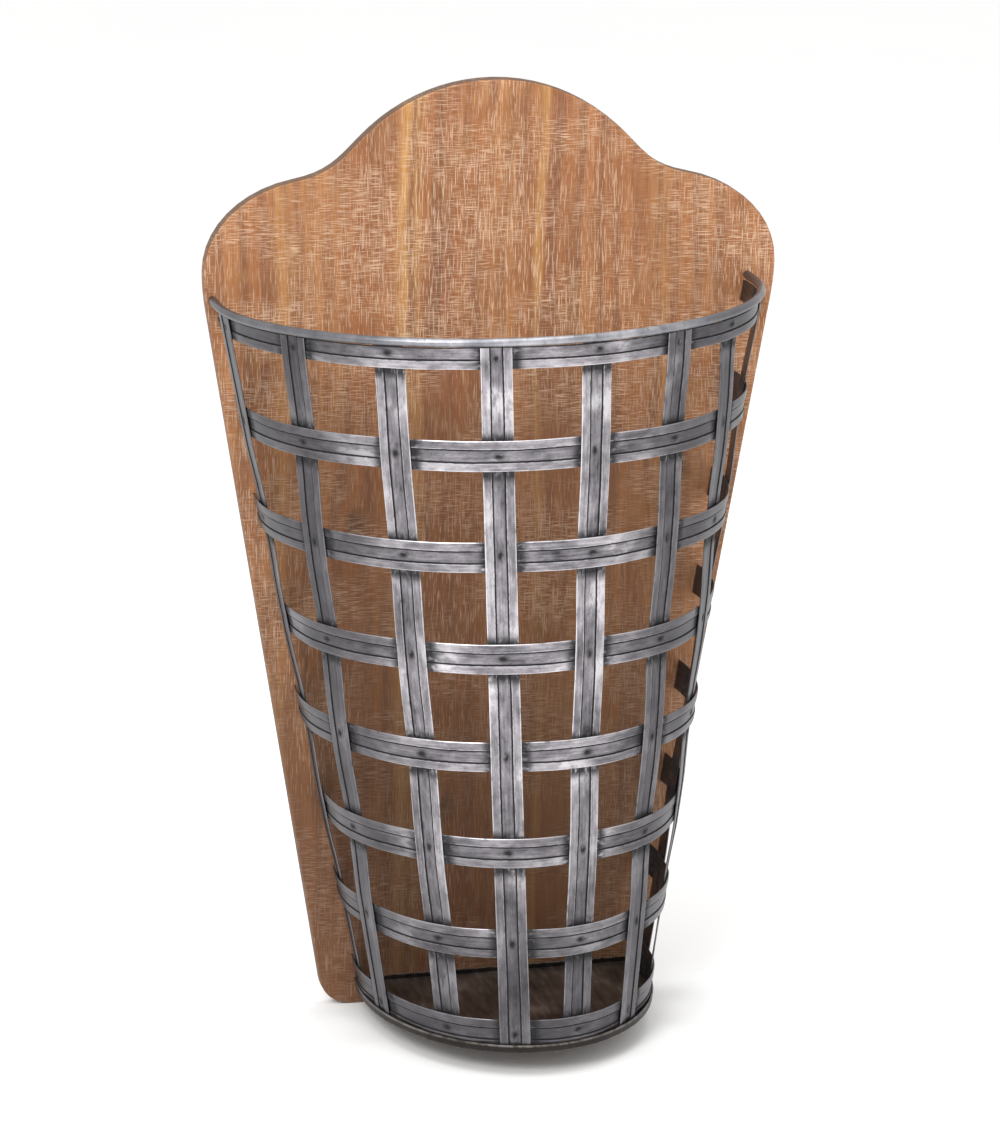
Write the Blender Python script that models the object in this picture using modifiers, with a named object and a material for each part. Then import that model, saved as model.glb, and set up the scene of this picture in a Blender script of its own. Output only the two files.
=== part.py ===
"""Wall bread basket: a shaped back board with a tapering half-round basket of woven steel strip on its front.

Metres, +Z up. The board's back face lies on the wall plane y = 0, and the basket stands out towards -Y.
The origin is the middle of the board's back face. Heights in the constants count up from the board's foot.
"""

from math import acos, asin, cos, hypot, pi, radians, sin, tan

import bmesh
import bpy
from mathutils import Matrix, Vector

# Back board
BOARD_HEIGHT = 0.666
BOARD_THICKNESS = 0.012
BOARD_FOOT_HALF_WIDTH = 0.116
BOARD_SIDE_SLOPE = 0.166
BOARD_HALF_WIDTH = 0.2027
SHOULDER_HEIGHT = 0.535
SHOULDER_RISE = 0.063
SHOULDER_CROWN_X = 0.1396
SHOULDER_TILT = radians(-10.8)
SIDE_TOP_HEIGHT = 0.497
CROWN_RADIUS = 0.130
CROWN_END_X = 0.0865
FOOT_RADIUS = 0.022
BOARD_EDGE_ROUND = 0.0012
# Bezier handle lengths, before and after a knot
OGEE_HANDLE = 0.025
SHOULDER_HANDLES = (0.030, 0.0385)
SIDE_HANDLES = (0.0295, 0.014)

# Basket: an elliptical half cone. Each ellipse's centre is measured from the board's front face, towards +Y.
# The basket was bent and fixed by hand: its middle is a little to one side, by the two shifts, and it leans.
RIM_HEIGHT = 0.5209
RIM_HALF_WIDTH = 0.1898
RIM_DEPTH = 0.1678
RIM_CENTRE = -0.0169
RIM_SHIFT = -0.0025
BASE_HEIGHT = 0.0181
BASE_HALF_WIDTH = 0.1016
BASE_DEPTH = 0.1393
BASE_CENTRE = -0.0261
BASE_SHIFT = 0.0031
LEAN = 0.0204
LEAN_PIVOT_HEIGHT = 0.3
RIM_RADIUS = 0.003
RIM_STRAIGHT_END = 0.012
RIM_ARC_STEPS = 48

# Folded strip
STRIP_WIDTH = 0.021
STRIP_THICKNESS = 0.0012
GAP = 0.00035
WEAVE_OFFSET = (STRIP_THICKNESS + GAP) / 2
LAP_MARGIN = 0.001
TURN_STEPS = (0.25, 0.5, 0.75)

# Uprights, left to right: angle from straight ahead, in degrees, at the rim and at the base
STRAP_ANGLES = (
    (-83.1, -91.7),
    (-54.5, -70.0),
    (-31.4, -37.5),
    (-9.3, -11.7),
    (11.8, 12.7),
    (31.8, 39.3),
    (49.7, 69.9),
    (81.0, 90.0),
)
BAND_HEIGHTS = (0.5132, 0.4436, 0.3733, 0.3022, 0.2323, 0.1635, 0.0969, 0.0302)

# Base plate
PLATE_THICKNESS = 0.0008
LIP_REACH = 0.003
LIP_HEIGHT = 0.005
BACK_LIP_HEIGHT = 0.0035
TAB_X = 0.055
TAB_SIZE = (0.018, 0.014)
TAB_THICKNESS = 0.0012
BASE_ARC_STEPS = 40

# Keyhole hangers, let into the back of the board
HANGER_X = 0.120
HANGER_HEIGHT = 0.545
HANGER_SIZE = (0.020, 0.050)
HANGER_THICKNESS = 0.0015
KEYHOLE_RADIUS = 0.0048
KEYHOLE_SLOT_RADIUS = 0.0025
KEYHOLE_TRAVEL = 0.012
KEYHOLE_CAVITY = 0.0065
KEYHOLE_SIDES = 16
HANGER_SCREW_SPACING = 0.040

# Screws: head radius, shank radius, head height, whole length
HANGER_SCREW = (0.0029, 0.0013, 0.0014, 0.0085)
RIM_SCREW = (0.0036, 0.0015, 0.0020, 0.0210)
TAB_SCREW = (0.0035, 0.0015, 0.0018, 0.0100)
SCREW_SIDES = 16
HEAD_EDGE_SHARE = 0.2

# Meshing
FLAT_ANGLE = radians(0.05)
WELD_DISTANCE = 0.00001
TURNED_WELD_DISTANCE = 0.0001
CUT_PAST = 0.002

FRONT = -BOARD_THICKNESS
FOOT = -BOARD_HEIGHT / 2

PIVOT = Vector((0, 0, FOOT + LEAN_PIVOT_HEIGHT))
LEANING = Matrix.Translation(PIVOT) @ Matrix.Rotation(-LEAN, 4, "Y") @ Matrix.Translation(-PIVOT)


def clear_scene():
    for obj in list(bpy.data.objects):
        bpy.data.objects.remove(obj)


def new_collection(name):
    made = bpy.data.collections.new(name)
    bpy.context.scene.collection.children.link(made)
    return made


def material(name, color, roughness, metallic):
    made = bpy.data.materials.new(name)
    made.use_nodes = True
    shader = made.node_tree.nodes["Principled BSDF"]
    shader.inputs["Base Color"].default_value = (*color, 1.0)
    shader.inputs["Roughness"].default_value = roughness
    shader.inputs["Metallic"].default_value = metallic
    made.diffuse_color = (*color, 1.0)
    return made


def add_object(name, data, collection, finish=None):
    obj = bpy.data.objects.new(name, data)
    collection.objects.link(obj)
    if finish:
        data.materials.append(finish)
    return obj


def as_cutter(obj):
    obj.hide_render = True
    obj.display_type = "WIRE"
    return obj


def mesh_from(bm, name):
    bmesh.ops.recalc_face_normals(bm, faces=bm.faces)
    mesh = bpy.data.meshes.new(name)
    bm.to_mesh(mesh)
    bm.free()
    return mesh


def box_mesh(name, low, high):
    bm = bmesh.new()
    bmesh.ops.create_cube(bm, size=1.0)
    low, high = Vector(low), Vector(high)
    for vertex in bm.verts:
        vertex.co = Vector(low[i] + (vertex.co[i] + 0.5) * (high[i] - low[i]) for i in range(3))
    return mesh_from(bm, name)


def curve_to_mesh(curve_object, name):
    """A welded mesh of a curve object, in world space; the curve is removed."""
    graph = bpy.context.evaluated_depsgraph_get()
    mesh = bpy.data.meshes.new_from_object(curve_object.evaluated_get(graph))
    mesh.transform(curve_object.matrix_world)
    mesh.name = name
    bm = bmesh.new()
    bm.from_mesh(mesh)
    bmesh.ops.remove_doubles(bm, verts=bm.verts, dist=WELD_DISTANCE)
    bmesh.ops.dissolve_limit(bm, angle_limit=FLAT_ANGLE, verts=bm.verts, edges=bm.edges)
    bmesh.ops.recalc_face_normals(bm, faces=bm.faces)
    bm.to_mesh(mesh)
    bm.free()
    bpy.data.objects.remove(curve_object)
    return mesh


def boolean(obj, other, operation="DIFFERENCE"):
    modifier = obj.modifiers.new(other.name, "BOOLEAN")
    modifier.operation = operation
    modifier.object = other
    modifier.solver = "EXACT"


# Back board --------------------------------------------------------------------------------------


def arc_handle(radius, turn):
    return 4 / 3 * tan(turn / 4) * radius


def board_knots():
    """The right half of the outline, crown to foot: x, height, heading in radians, handle in, handle out."""
    crown_turn = asin(CROWN_END_X / CROWN_RADIUS)
    crown_drop = CROWN_RADIUS * (1 - cos(crown_turn))
    crown_handle = arc_handle(CROWN_RADIUS, crown_turn)
    side_stretch = hypot(1, BOARD_SIDE_SLOPE)
    side_heading = -pi / 2 - acos(1 / side_stretch)
    foot_turn = pi + side_heading
    foot_tangent = FOOT_RADIUS * tan(foot_turn / 2)
    foot_handle = arc_handle(FOOT_RADIUS, foot_turn)
    side_top_x = BOARD_FOOT_HALF_WIDTH + BOARD_SIDE_SLOPE * SIDE_TOP_HEIGHT
    side_third = SIDE_TOP_HEIGHT / 3
    return [
        (0.0, BOARD_HEIGHT, 0.0, crown_handle, crown_handle),
        (CROWN_END_X, BOARD_HEIGHT - crown_drop, -crown_turn, crown_handle, OGEE_HANDLE),
        (SHOULDER_CROWN_X, SHOULDER_HEIGHT + SHOULDER_RISE, SHOULDER_TILT, *SHOULDER_HANDLES),
        (BOARD_HALF_WIDTH, SHOULDER_HEIGHT, -pi / 2, *SIDE_HANDLES),
        (side_top_x, SIDE_TOP_HEIGHT, side_heading, SIDE_HANDLES[1], side_third),
        (
            BOARD_FOOT_HALF_WIDTH + foot_tangent * BOARD_SIDE_SLOPE / side_stretch,
            foot_tangent / side_stretch,
            side_heading,
            side_third,
            foot_handle,
        ),
        (BOARD_FOOT_HALF_WIDTH - foot_tangent, 0.0, -pi, foot_handle, foot_tangent),
    ]


def board_outline():
    """Knots all the way round: (position, handle in, handle out), in the board's own plane."""
    right = []
    for x, height, heading, reach_in, reach_out in board_knots():
        way = Vector((cos(heading), sin(heading)))
        at = Vector((x, height + FOOT))
        right.append((at, at - way * reach_in, at + way * reach_out))
    left = []
    for at, before, after in reversed(right[1:]):
        left.append(tuple(Vector((-point.x, point.y)) for point in (at, after, before)))
    return right + left


def make_board(collection, finish):
    curve = bpy.data.curves.new("back_board", "CURVE")
    curve.dimensions = "2D"
    curve.fill_mode = "BOTH"
    curve.extrude = BOARD_THICKNESS / 2 - BOARD_EDGE_ROUND
    curve.bevel_depth = BOARD_EDGE_ROUND
    curve.bevel_resolution = 1
    curve.offset = -BOARD_EDGE_ROUND
    curve.resolution_u = 10
    outline = board_outline()
    spline = curve.splines.new("BEZIER")
    spline.bezier_points.add(len(outline) - 1)
    spline.use_cyclic_u = True
    for point, (at, before, after) in zip(spline.bezier_points, outline):
        point.handle_left_type = point.handle_right_type = "FREE"
        point.co = (*at, 0)
        point.handle_left = (*before, 0)
        point.handle_right = (*after, 0)
    flat = add_object("board_curve", curve, collection)
    flat.rotation_euler = (pi / 2, 0, 0)
    flat.location = (0, -BOARD_THICKNESS / 2, 0)
    bpy.context.view_layer.update()
    return add_object("back_board", curve_to_mesh(flat, "back_board"), collection, finish)


# Basket surface ----------------------------------------------------------------------------------


def share_up(height):
    """0 at the base and 1 at the rim."""
    return (height - BASE_HEIGHT) / (RIM_HEIGHT - BASE_HEIGHT)


def section_at(height):
    """The basket's half width, depth and centre at a height, and its angle where it meets the board."""
    share = share_up(height)
    half_width = BASE_HALF_WIDTH + share * (RIM_HALF_WIDTH - BASE_HALF_WIDTH)
    depth = BASE_DEPTH + share * (RIM_DEPTH - BASE_DEPTH)
    centre = BASE_CENTRE + share * (RIM_CENTRE - BASE_CENTRE)
    return half_width, depth, centre, acos((centre + GAP) / depth)


def on_basket(height, angle, out=0.0):
    """A point on the basket's middle surface, at an angle from straight ahead, moved out along the normal."""
    half_width, depth, centre, _ = section_at(height)
    normal = Vector((depth * sin(angle), -half_width * cos(angle), 0)).normalized()
    shift = BASE_SHIFT + share_up(height) * (RIM_SHIFT - BASE_SHIFT)
    at = Vector((shift + half_width * sin(angle), FRONT + centre - depth * cos(angle), FOOT + height))
    return at + normal * out


def angle_for(length, height, angle):
    """The change of angle that moves a point this length along the section."""
    half_width, depth, _, _ = section_at(height)
    return length / hypot(half_width * cos(angle), depth * sin(angle))


def strap_angle(number, height):
    """Straps are numbered from 1, left to right."""
    at_rim, at_base = STRAP_ANGLES[number - 1]
    return radians(at_base + share_up(height) * (at_rim - at_base))


def strap_is_outside(strap, band):
    """Plain weave, except that the last two bands pass the same way, and strap 1 starts outside twice."""
    row = min(band, len(BAND_HEIGHTS) - 1)
    return (strap + row) % 2 == 1 or (strap == 1 and band == 1)


def weave_side(strap, band):
    return WEAVE_OFFSET if strap_is_outside(strap, band) else -WEAVE_OFFSET


def woven_stations(laps, first, last):
    """(position, offset) along a strip: flat across each lap (start, end, offset), smooth turns between."""
    stations = [(first, laps[0][2])]
    for number, (start, end, offset) in enumerate(laps):
        stations += [(start, offset), (end, offset)]
        if number + 1 < len(laps):
            following, _, next_offset = laps[number + 1]
            for step in TURN_STEPS:
                eased = step * step * (3 - 2 * step)
                stations.append((end + (following - end) * step, offset + (next_offset - offset) * eased))
    stations.append((last, laps[-1][2]))
    return stations


def ribbon(name, pairs, collection, finish):
    """A strip through pairs of edge points, with its thickness from Solidify."""
    bm = bmesh.new()
    rows = [(bm.verts.new(a), bm.verts.new(b)) for a, b in pairs]
    for (a, b), (c, d) in zip(rows, rows[1:]):
        bm.faces.new((a, b, d, c))
    obj = add_object(name, mesh_from(bm, name), collection, finish)
    obj.matrix_world = LEANING
    sheet = obj.modifiers.new("sheet", "SOLIDIFY")
    sheet.thickness = STRIP_THICKNESS
    sheet.offset = 0
    return obj


def band_edges(number):
    """The heights of a band's lower and upper edges. Band 1 loses its upper hem inside the rolled rim."""
    middle = BAND_HEIGHTS[number - 1]
    upper = middle + STRIP_WIDTH / 2
    if number == 1:
        upper = RIM_HEIGHT - RIM_RADIUS - GAP
    return middle - STRIP_WIDTH / 2, upper


def make_strap(number, collection, finish):
    reach = STRIP_WIDTH / 2
    top = RIM_HEIGHT - RIM_RADIUS - GAP
    bottom = BASE_HEIGHT + PLATE_THICKNESS / 2 + GAP
    laps = []
    for band in range(1, len(BAND_HEIGHTS) + 1):
        lower, upper = band_edges(band)
        start, end = min(top, upper + LAP_MARGIN), max(bottom, lower - LAP_MARGIN)
        laps.append((start, end, weave_side(number, band)))
    pairs = []
    for height, offset in woven_stations(laps, top, bottom):
        angle = strap_angle(number, height)
        half = angle_for(reach, height, angle)
        pairs.append([on_basket(height, angle + side * half, offset) for side in (-1, 1)])
    return ribbon(f"strap_{number}", distinct(pairs), collection, finish)


def distinct(pairs):
    kept = pairs[:1]
    for pair in pairs[1:]:
        if (pair[0] - kept[-1][0]).length > GAP:
            kept.append(pair)
    return kept


def make_band(number, collection, finish):
    """A cross band. Its ends meet the board, except that the last band's meet the back lip of the base."""
    edges = []
    for height in band_edges(number):
        laps = []
        for strap in range(1, len(STRAP_ANGLES) + 1):
            angle = strap_angle(strap, height)
            half = angle_for(STRIP_WIDTH / 2 + LAP_MARGIN, height, angle)
            laps.append((angle - half, angle + half, -weave_side(strap, number)))
        end = section_at(height)[3]
        edges.append([on_basket(height, angle, offset) for angle, offset in woven_stations(laps, -end, end)])
    stand_off = 2 * GAP + PLATE_THICKNESS if number == len(BAND_HEIGHTS) else GAP
    for edge in edges:
        for point in (edge[0], edge[-1]):
            point.y = FRONT - stand_off
    return ribbon(f"band_{number}", list(zip(*edges)), collection, finish)


def make_rim(collection, finish):
    """A round wire along the top edge. Each end runs straight into the board and is bored for its screw."""
    _, depth, centre, _ = section_at(RIM_HEIGHT)
    last = acos((centre + RIM_STRAIGHT_END) / depth)
    angles = [last * (2 * step / RIM_ARC_STEPS - 1) for step in range(RIM_ARC_STEPS + 1)]
    points = [on_basket(RIM_HEIGHT, angle) for angle in angles]
    ends = [Vector((point.x, FRONT - GAP, point.z)) for point in (points[0], points[-1])]
    points = [ends[0], *points, ends[1]]
    curve = bpy.data.curves.new("rim", "CURVE")
    curve.dimensions = "3D"
    curve.bevel_depth = RIM_RADIUS
    curve.bevel_resolution = 3
    curve.use_fill_caps = True
    spline = curve.splines.new("POLY")
    spline.points.add(len(points) - 1)
    for point, at in zip(spline.points, points):
        point.co = (*at, 1)
    wire = add_object("rim_curve", curve, collection)
    bpy.context.view_layer.update()
    rim = add_object("rim", curve_to_mesh(wire, "rim"), collection, finish)
    rim.matrix_world = LEANING
    return rim, (points[0].x, points[-1].x)


# Base plate --------------------------------------------------------------------------------------


def make_base(collection, cutters, finish):
    """A tray: floor and turned-up lips are one thickened sheet, with two tabs turned down at the back."""
    height = BASE_HEIGHT
    end = section_at(height)[3]
    angles = [end * (2 * step / BASE_ARC_STEPS - 1) for step in range(BASE_ARC_STEPS + 1)]
    arc = [on_basket(height, angle, LIP_REACH) for angle in angles]
    back = FRONT - GAP - PLATE_THICKNESS / 2
    arc[0].y = arc[-1].y = back
    bm = bmesh.new()
    floor = [bm.verts.new(point) for point in arc]
    top = [bm.verts.new(point + Vector((0, 0, LIP_HEIGHT))) for point in arc]
    top[0].co.z = top[-1].co.z = FOOT + height + BACK_LIP_HEIGHT
    bm.faces.new(floor)
    for index in range(len(floor)):
        after = (index + 1) % len(floor)
        bm.faces.new((floor[index], floor[after], top[after], top[index]))
    tray = add_object("base_plate", mesh_from(bm, "base_plate"), collection, finish)
    tray.matrix_world = LEANING
    sheet = tray.modifiers.new("sheet", "SOLIDIFY")
    sheet.thickness = PLATE_THICKNESS
    sheet.offset = 0
    sheet.use_even_offset = True
    floor_z = FOOT + height
    for name, x in (("left", -TAB_X), ("right", TAB_X)):
        low = (x - TAB_SIZE[0] / 2, FRONT - GAP - TAB_THICKNESS, floor_z - TAB_SIZE[1])
        high = (x + TAB_SIZE[0] / 2, FRONT - GAP, floor_z + PLATE_THICKNESS / 4)
        tab = box_cutter(f"tab_{name}", low, high, cutters)
        tab.matrix_world = LEANING
        boolean(tray, tab, "UNION")
    return tray


# Screws and hangers ------------------------------------------------------------------------------


def turned(name, profile, at, collection, finish=None):
    """A turned piece from (radius, depth) points, head first. Depth counts from the head to the tip."""
    bm = bmesh.new()
    verts = [bm.verts.new((radius, 0, -depth)) for radius, depth in profile]
    for a, b in zip(verts, verts[1:]):
        bm.edges.new((a, b))
    mesh = bpy.data.meshes.new(name)
    bm.to_mesh(mesh)
    bm.free()
    obj = add_object(name, mesh, collection, finish)
    turn = obj.modifiers.new("turn", "SCREW")
    turn.steps = turn.render_steps = SCREW_SIDES
    turn.use_merge_vertices = True
    turn.merge_threshold = TURNED_WELD_DISTANCE
    obj.location = at
    return obj


def screw_profile(sizes):
    head, shank, head_height, length = sizes
    return [
        (0.0, 0.0),
        (head, 0.0),
        (head, head_height * HEAD_EDGE_SHARE),
        (shank, head_height),
        (shank, length - 2 * shank),
        (0.0, length),
    ]


def hole_profile(sizes):
    """The countersunk hole for that screw: a gap bigger all round, and open at the head."""
    head, shank, head_height, length = sizes
    return [
        (0.0, -CUT_PAST),
        (head + GAP, -CUT_PAST),
        (head + GAP, head_height * HEAD_EDGE_SHARE + GAP / 2),
        (shank + GAP, head_height + GAP),
        (shank + GAP, length + GAP),
        (0.0, length + GAP),
    ]


def screw_pair(name, sizes, at, forward, collection, cutters, finish):
    """Makes a screw and returns its hole's cutter. forward is +1 if the tip points to +Y, -1 if to -Y."""
    screw = turned(name, screw_profile(sizes), at, collection, finish)
    hole = as_cutter(turned(name + "_hole", hole_profile(sizes), at, cutters))
    screw.rotation_euler = hole.rotation_euler = (forward * pi / 2, 0, 0)
    return hole


def keyhole_mesh(name, entry_radius, slot_radius, depth_from, depth_to):
    """A keyhole outline, entry below and slot above, as a solid between two depths behind the wall plane."""
    points = []
    start = acos(slot_radius / entry_radius)
    for step in range(KEYHOLE_SIDES + 1):
        angle = start - (pi + 2 * start) * step / KEYHOLE_SIDES
        points.append((entry_radius * cos(angle), entry_radius * sin(angle)))
    for step in range(KEYHOLE_SIDES // 2 + 1):
        angle = pi - 2 * pi * step / KEYHOLE_SIDES
        points.append((slot_radius * cos(angle), KEYHOLE_TRAVEL + slot_radius * sin(angle)))
    bm = bmesh.new()
    face = bm.faces.new([bm.verts.new((x, depth_from, z)) for x, z in points])
    made = bmesh.ops.extrude_face_region(bm, geom=[face])
    moved = [item for item in made["geom"] if isinstance(item, bmesh.types.BMVert)]
    bmesh.ops.translate(bm, verts=moved, vec=(0, depth_to - depth_from, 0))
    return mesh_from(bm, name)


def box_cutter(name, low, high, cutters):
    return as_cutter(add_object(name, box_mesh(name, low, high), cutters))


def make_hanger(side, board, collection, cutters, finish, screw_finish):
    """A keyhole plate let into the back of the board, its two screws, and the pockets they need."""
    name = "left" if side < 0 else "right"
    x, z = side * HANGER_X, FOOT + HANGER_HEIGHT
    half_x, half_z = HANGER_SIZE[0] / 2, HANGER_SIZE[1] / 2
    front = -GAP - HANGER_THICKNESS
    plate_mesh = box_mesh(
        f"hanger_plate_{name}",
        (x - half_x, front, z - half_z),
        (x + half_x, -GAP, z + half_z),
    )
    plate = add_object(f"hanger_plate_{name}", plate_mesh, collection, finish)
    pocket = box_cutter(
        f"hanger_pocket_{name}",
        (x - half_x - GAP, front - GAP, z - half_z - GAP),
        (x + half_x + GAP, CUT_PAST, z + half_z + GAP),
        cutters,
    )
    boolean(board, pocket)
    entry_z = z - KEYHOLE_TRAVEL / 2
    outline = keyhole_mesh(f"keyhole_{name}", KEYHOLE_RADIUS, KEYHOLE_SLOT_RADIUS, CUT_PAST, front - CUT_PAST)
    keyhole = as_cutter(add_object(f"keyhole_{name}", outline, cutters))
    keyhole.location = (x, 0, entry_z)
    boolean(plate, keyhole)
    cavity = box_cutter(
        f"keyhole_cavity_{name}",
        (x - KEYHOLE_RADIUS, -KEYHOLE_CAVITY - HANGER_THICKNESS, entry_z - KEYHOLE_RADIUS),
        (x + KEYHOLE_RADIUS, CUT_PAST, entry_z + KEYHOLE_TRAVEL + KEYHOLE_RADIUS),
        cutters,
    )
    boolean(board, cavity)
    for end, place in ((-1, "lower"), (1, "upper")):
        screw_name = f"hanger_screw_{name}_{place}"
        at = (x, -2 * GAP, z + end * HANGER_SCREW_SPACING / 2)
        hole = screw_pair(screw_name, HANGER_SCREW, at, -1, collection, cutters, screw_finish)
        boolean(plate, hole)
        boolean(board, hole)


def main():
    clear_scene()
    parts = new_collection("wall_bread_basket")
    cutters = new_collection("cutters")
    wood = material("board_wood", (0.33, 0.19, 0.11), 0.75, 0.0)
    zinc = material("aged_zinc", (0.30, 0.30, 0.32), 0.42, 0.9)
    rim_zinc = material("rim_zinc", (0.36, 0.37, 0.39), 0.38, 0.9)
    dark_sheet = material("base_sheet", (0.12, 0.105, 0.10), 0.5, 0.8)
    plated = material("plated_steel", (0.55, 0.54, 0.50), 0.35, 1.0)
    screw_steel = material("screw_steel", (0.45, 0.45, 0.46), 0.35, 1.0)

    board = make_board(parts, wood)
    rim, rim_ends = make_rim(parts, rim_zinc)
    for number in range(1, len(STRAP_ANGLES) + 1):
        make_strap(number, parts, zinc)
    for number in range(1, len(BAND_HEIGHTS) + 1):
        make_band(number, parts, zinc)
    base = make_base(parts, cutters, dark_sheet)

    for side, name, rim_x in ((-1, "left", rim_ends[0]), (1, "right", rim_ends[1])):
        make_hanger(side, board, parts, cutters, plated, screw_steel)
        rim_at = LEANING @ Vector((rim_x, -GAP, FOOT + RIM_HEIGHT))
        hole = screw_pair(f"rim_screw_{name}", RIM_SCREW, rim_at, -1, parts, cutters, screw_steel)
        boolean(board, hole)
        boolean(rim, hole)
        tab_middle = FOOT + BASE_HEIGHT - TAB_SIZE[1] / 2
        tab_at = LEANING @ Vector((side * TAB_X, FRONT - 2 * GAP - TAB_THICKNESS, tab_middle))
        hole = screw_pair(f"base_screw_{name}", TAB_SCREW, tab_at, 1, parts, cutters, screw_steel)
        boolean(base, hole)
        boolean(board, hole)


main()
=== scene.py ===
"""Looks of the wall bread basket: folded and woven zinc strip on a whitewashed wooden board.

Everything is in metres in the CAD model's frame: +X right, +Z up, and the basket stands out towards -Y.
The board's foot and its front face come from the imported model, and heights are measured up from the foot.
"""

from math import acos, cos, hypot, pi, radians, sin

import bmesh
import bpy
from mathutils import Matrix, Vector, noise


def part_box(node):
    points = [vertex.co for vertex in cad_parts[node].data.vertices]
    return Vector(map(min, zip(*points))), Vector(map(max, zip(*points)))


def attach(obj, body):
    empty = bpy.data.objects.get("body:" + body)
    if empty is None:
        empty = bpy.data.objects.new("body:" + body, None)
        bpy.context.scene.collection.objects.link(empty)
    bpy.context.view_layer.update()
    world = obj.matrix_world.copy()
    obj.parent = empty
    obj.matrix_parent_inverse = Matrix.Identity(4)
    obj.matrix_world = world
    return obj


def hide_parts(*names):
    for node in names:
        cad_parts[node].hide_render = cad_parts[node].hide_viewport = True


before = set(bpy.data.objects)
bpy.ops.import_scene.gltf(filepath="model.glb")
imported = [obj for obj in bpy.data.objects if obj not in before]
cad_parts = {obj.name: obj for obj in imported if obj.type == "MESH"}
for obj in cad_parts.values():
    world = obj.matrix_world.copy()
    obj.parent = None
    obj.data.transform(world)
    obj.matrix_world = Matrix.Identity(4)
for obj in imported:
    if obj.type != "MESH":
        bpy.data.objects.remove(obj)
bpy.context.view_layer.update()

BOARD_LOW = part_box("back_board")[0]
FRONT = BOARD_LOW.y

# The basket's section, as the CAD model has it: half width, depth, centre (from the board's front face)
# and sideways shift
RIM_SECTION = (0.1898, 0.1678, -0.0169, -0.0025)
BASE_SECTION = (0.1016, 0.1393, -0.0261, 0.0031)
RIM_HEIGHT = 0.5209
BASE_HEIGHT = 0.0181
RIM_Z = BOARD_LOW.z + RIM_HEIGHT
BASE_Z = BOARD_LOW.z + BASE_HEIGHT

# Uprights, left to right: angle from straight ahead, in degrees, at the rim and at the base
STRAP_ANGLES = (
    (-83.1, -91.7),
    (-54.5, -70.0),
    (-31.4, -37.5),
    (-9.3, -11.7),
    (11.8, 12.7),
    (31.8, 39.3),
    (49.7, 69.9),
    (81.0, 90.0),
)
STRAPS = len(STRAP_ANGLES)
# Heights of the bands' middles, top to bottom
BAND_HEIGHTS = (0.5132, 0.4436, 0.3733, 0.3022, 0.2323, 0.1635, 0.0969, 0.0302)
BANDS = len(BAND_HEIGHTS)

GAP = 0.00035
RIM_RADIUS = 0.003
RIM_STRAIGHT_END = 0.012
PLATE_THICKNESS = 0.0008
LIP_REACH = 0.003
LIP_HEIGHT = 0.005
BACK_LIP_HEIGHT = 0.0035

# The basket leans a little on the board. Its pieces are built upright, and turned in finish_piece.
LEAN = 0.0204
LEAN_PIVOT_HEIGHT = 0.3
PIVOT = Vector((0, 0, BOARD_LOW.z + LEAN_PIVOT_HEIGHT))
LEANING = Matrix.Translation(PIVOT) @ Matrix.Rotation(-LEAN, 4, "Y") @ Matrix.Translation(-PIVOT)

# Folded strip: the two edges are folded over to the front, and a groove runs along each fold's inner edge
STRIP_WIDTH = 0.021
HALF_STRIP = STRIP_WIDTH / 2
STRIP_HALF_THICKNESS = 0.0006
WEAVE_OFFSET = STRIP_HALF_THICKNESS + GAP / 2
HEM_WIDTH = 0.0060
FOLD_EDGE = HALF_STRIP - HEM_WIDTH
GROOVE_WIDTH = 0.0007

# A lap is where two strips cross. The mesh is finer on it than between laps.
LAP_MARGIN = 0.001
LAP_LENGTH = STRIP_WIDTH + 2 * LAP_MARGIN
STEP_ON_LAP = 0.0010
STEP_BETWEEN = 0.0025
FEWEST_TURN_STEPS = 6
SAME_PLACE = 1e-6

# Unevenness of a strip. Its grooves, between these distances from its middle, waver more than the rest of it.
WAVER = 0.00035
WAVER_RATE = 28
WAVERS_FROM = 0.0030
WAVERS_TO = 0.0056
FIRM_SHARE = 0.35
BULGE = 0.00008
BULGE_RATE = 90
BULGE_RATE_ACROSS = 300
BULGE_SEED = 5

# How far apart two seeds' unevenness is read from the same noise
SEED_STEPS = (7.3, 1.9)

# Each strip reads its own part of the zinc's pattern
SEED_SPACING = 1.37
BAND_SEEDS = 20
# The way round the basket that faces the light best: the zinc gets painted shade as it turns away from it
BRIGHTEST_ANGLE = radians(-8)
# A strip's outward side faces away from an upright line this far behind the board's front
LINE_BEHIND_FRONT = 0.02

# Spot welds: a pit inside a low ring, off the middle of the lap, in a dark smudge. Reaches are in weld sizes.
WELD_DEPTH = 0.00055
WELD_LENGTH = 0.0021
WELD_WIDTH = 0.0014
WELD_OFF_ACROSS = 0.0007
WELD_OFF_ALONG = 0.0022
WELD_RATE_ACROSS = 3.1
WELD_RATE_ALONG = 5.7
WELD_SEED_ALONG = 9
WELD_LIMIT = 0.0036
PIT_REACH = 1.6
RING_SHARE = 0.35
RING_AT = 1.9
RING_REACH = 0.8
SMUDGE = 1.25
SMUDGE_REACH = 2.7

# Dirt and painted shade on a strip: under the strip that crosses it, and just beside that strip
COVERED_DIRT_AND_SHADE = 0.9
COVERED_FULL_AT = 0.6
BESIDE_DIRT_AND_SHADE = 0.95
BESIDE_REACH = 0.0065


# Mesh helpers ---------------------------------------------------------------------------------------------


def finish_piece(bm, name, material, replaced=(), smooth_angle=35):
    """Turns a bmesh into a piece of the object: shaded, riding on the only body, with its material."""
    mesh = bpy.data.meshes.new(name)
    bm.to_mesh(mesh)
    bm.free()
    mesh.transform(LEANING)
    mesh.shade_smooth()
    mesh.set_sharp_from_angle(angle=radians(smooth_angle))
    piece = bpy.data.objects.new(name, mesh)
    bpy.context.scene.collection.objects.link(piece)
    mesh.materials.append(material)
    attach(piece, "root")
    if replaced:
        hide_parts(*replaced)
    return piece


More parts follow.
